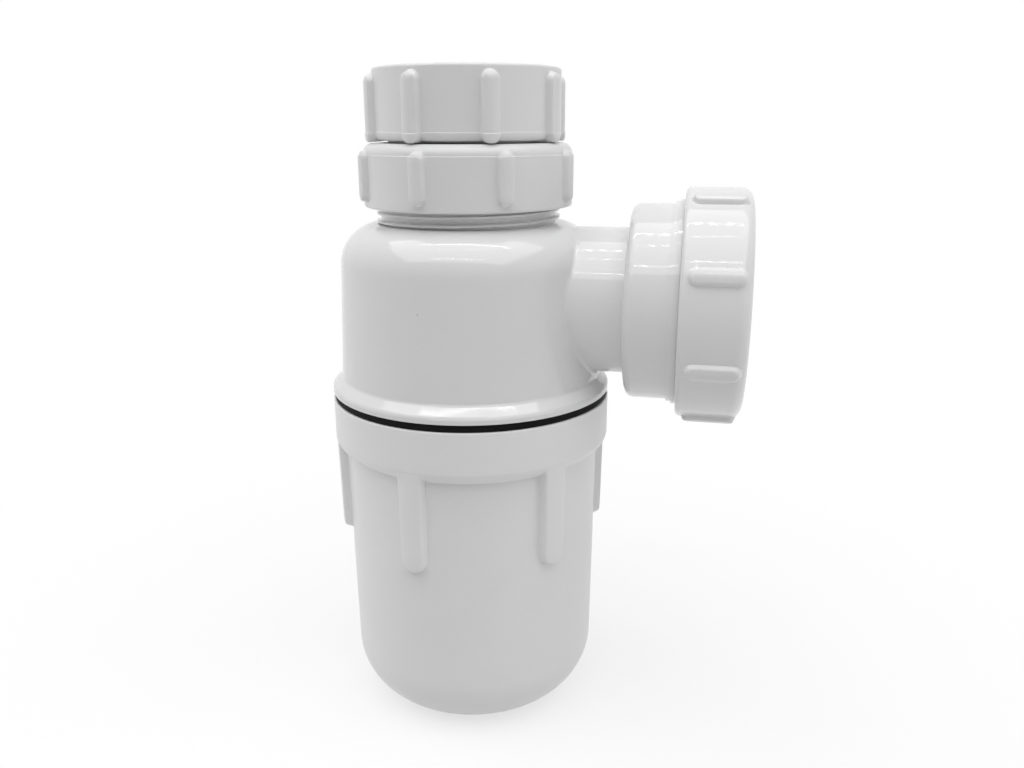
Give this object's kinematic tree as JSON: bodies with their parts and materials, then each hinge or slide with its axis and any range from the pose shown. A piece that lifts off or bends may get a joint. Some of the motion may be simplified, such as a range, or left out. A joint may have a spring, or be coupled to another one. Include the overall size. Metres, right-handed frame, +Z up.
{
  "type": "bottle trap",
  "caption": "White plastic bottle trap for a basin waste: ribbed inlet and neck nuts over a domed body, side compression outlet and a screw-off ribbed bottle with a black rubber seal.",
  "frame": {"origin": "centre of the bottle's flat base", "axes": "+Z up along the bottle's axis to the inlet, +X out along the side outlet"},
  "size_m": [0.1091, 0.0746, 0.1718],
  "materials": {
    "body_plastic": "glossy moulded white",
    "bottle_plastic": "satin moulded white",
    "nut_plastic": "satin moulded white",
    "tube_plastic": "smooth moulded white",
    "slip_plastic": "matt natural white",
    "seal_rubber": "matt black",
    "washer_rubber": "matt black"
  },
  "bodies": {
    "trap_body": {"trap_body": "body_plastic", "neck_seal": "washer_rubber", "outlet_seal": "washer_rubber"},
    "neck_gland": {"neck_slip_washer": "slip_plastic"},
    "neck_nut": {"neck_nut": "nut_plastic"},
    "inlet_tube": {"dip_tube": "tube_plastic", "inlet_washer": "washer_rubber"},
    "inlet_nut": {"inlet_nut": "nut_plastic"},
    "bottle_gasket": {"bottle_seal": "seal_rubber"},
    "bottle": {"bottle": "bottle_plastic"},
    "outlet_gland": {"outlet_slip_washer": "slip_plastic"},
    "outlet_nut": {"outlet_nut": "nut_plastic"}
  },
  "joints": [
    {"name": "neck_nut_rise", "type": "slide", "parent": "trap_body", "child": "neck_gland", "axis": [0, 0, 1], "range_m": [0, 0.0081]},
    {"name": "neck_nut_turn", "type": "hinge", "parent": "neck_gland", "child": "neck_nut", "pos_m": [0, 0, 0.146], "axis": [0, 0, 1], "range_deg": [0, 1440]},
    {"name": "tube_slide", "type": "slide", "parent": "neck_gland", "child": "inlet_tube", "axis": [0, 0, 1], "range_m": [0, 0.04]},
    {"name": "inlet_nut_turn", "type": "hinge", "parent": "inlet_tube", "child": "inlet_nut", "pos_m": [0, 0, 0.163], "axis": [0, 0, 1], "continuous": true},
    {"name": "bottle_travel", "type": "slide", "parent": "trap_body", "child": "bottle_gasket", "axis": [0, 0, 1], "range_m": [-0.0083, 0]},
    {"name": "bottle_turn", "type": "hinge", "parent": "bottle_gasket", "child": "bottle", "pos_m": [0, 0, 0.044], "axis": [0, 0, 1], "range_deg": [-990, 0]},
    {"name": "outlet_nut_travel", "type": "slide", "parent": "trap_body", "child": "outlet_gland", "axis": [1, 0, 0], "range_m": [0, 0.0088]},
    {"name": "outlet_nut_turn", "type": "hinge", "parent": "outlet_gland", "child": "outlet_nut", "pos_m": [0.0637, 0, 0.1147], "axis": [1, 0, 0], "range_deg": [0, 1260]}
  ],
  "couplings": [
    {"joint": "neck_nut_rise", "follows": "neck_nut_turn", "m_per_rad": 0.00031831},
    {"joint": "bottle_travel", "follows": "bottle_turn", "m_per_rad": 0.00047746},
    {"joint": "outlet_nut_travel", "follows": "outlet_nut_turn", "m_per_rad": 0.00039789}
  ]
}
